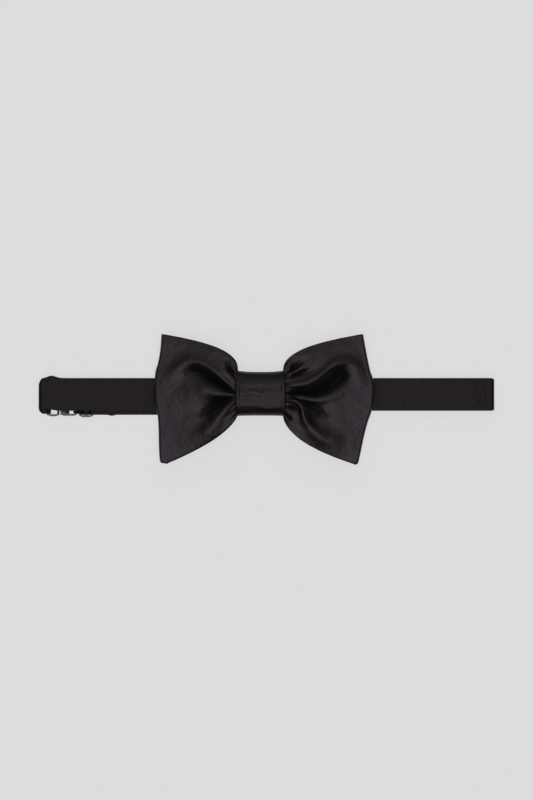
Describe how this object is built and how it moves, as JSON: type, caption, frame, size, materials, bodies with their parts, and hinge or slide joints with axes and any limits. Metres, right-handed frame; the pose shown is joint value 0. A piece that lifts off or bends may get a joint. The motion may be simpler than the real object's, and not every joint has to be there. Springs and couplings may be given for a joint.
{
  "type": "bow tie",
  "caption": "Pre-tied satin bow tie on an adjustable neck band with a hook and eye clasp and a slider, closed and laid flat.",
  "frame": {"origin": "on the surface that the band lies on, under the middle of the knot", "axes": "+X along the band, +Y up on the wearer, +Z out of the front of the bow"},
  "size_m": [0.2501, 0.072, 0.0177],
  "materials": {
    "bow_satin": "black satin with a soft sheen",
    "band_satin": "black satin, pressed flat",
    "interlining": "matt woven interlining",
    "thread": "black sewing thread",
    "black_nickel": "shiny black nickel plate"
  },
  "bodies": {
    "bow": {"bow_front": "bow_satin", "bow_back": "bow_satin", "bow_front_interlining": "interlining", "bow_back_interlining": "interlining", "waist_stitches": "thread", "gathering_thread": "thread", "knot_wrap": "bow_satin", "knot_pad": "interlining", "knot_stitches": "thread", "front_band": "band_satin", "front_band_interlining": "interlining", "band_tacks": "thread", "left_turn": "band_satin", "right_turn": "band_satin"},
    "eye_end": {"eye_loop": "band_satin", "eye_tack": "thread"},
    "eye": {"eye": "black_nickel"},
    "rear": {"rear_band": "band_satin", "rear_run": "band_satin", "rear_run_interlining": "interlining"},
    "slider": {"slider": "black_nickel", "run_in_slider": "band_satin", "slider_loop": "band_satin", "slider_tack": "thread"},
    "hook_end": {"hook_loop": "band_satin", "draw_run": "band_satin", "return_run": "band_satin"},
    "hook": {"hook": "black_nickel"}
  },
  "joints": [
    {"name": "right_fold", "type": "hinge", "parent": "bow", "child": "rear", "pos_m": [0.12528, 0, 0.00302], "axis": [0, -1, 0], "range_deg": [0, 180], "deforming": ["right_turn"]},
    {"name": "left_fold", "type": "hinge", "parent": "bow", "child": "eye_end", "pos_m": [-0.11878, 0, 0.00302], "axis": [0, 1, 0], "range_deg": [0, 180], "deforming": ["left_turn"]},
    {"name": "eye_swivel", "type": "hinge", "parent": "eye_end", "child": "eye", "pos_m": [-0.11694, 0, 0.0016], "axis": [0, -1, 0], "range_deg": [0, 25]},
    {"name": "slider_slide", "type": "slide", "parent": "rear", "child": "slider", "axis": [1, 0, 0], "range_m": [0, 0.15], "deforming": ["rear_run", "rear_run_interlining"]},
    {"name": "loop_draw", "type": "slide", "parent": "slider", "child": "hook_end", "axis": [1, 0, 0], "range_m": [-0.075, 0], "deforming": ["draw_run", "return_run"]},
    {"name": "hook_swivel", "type": "hinge", "parent": "hook_end", "child": "hook", "pos_m": [-0.10144, 0, 0.0016], "axis": [0, -1, 0], "range_deg": [0, 75]}
  ],
  "couplings": [
    {"joint": "left_fold", "follows": "right_fold", "ratio": 1},
    {"joint": "loop_draw", "follows": "slider_slide", "ratio": -0.5}
  ]
}
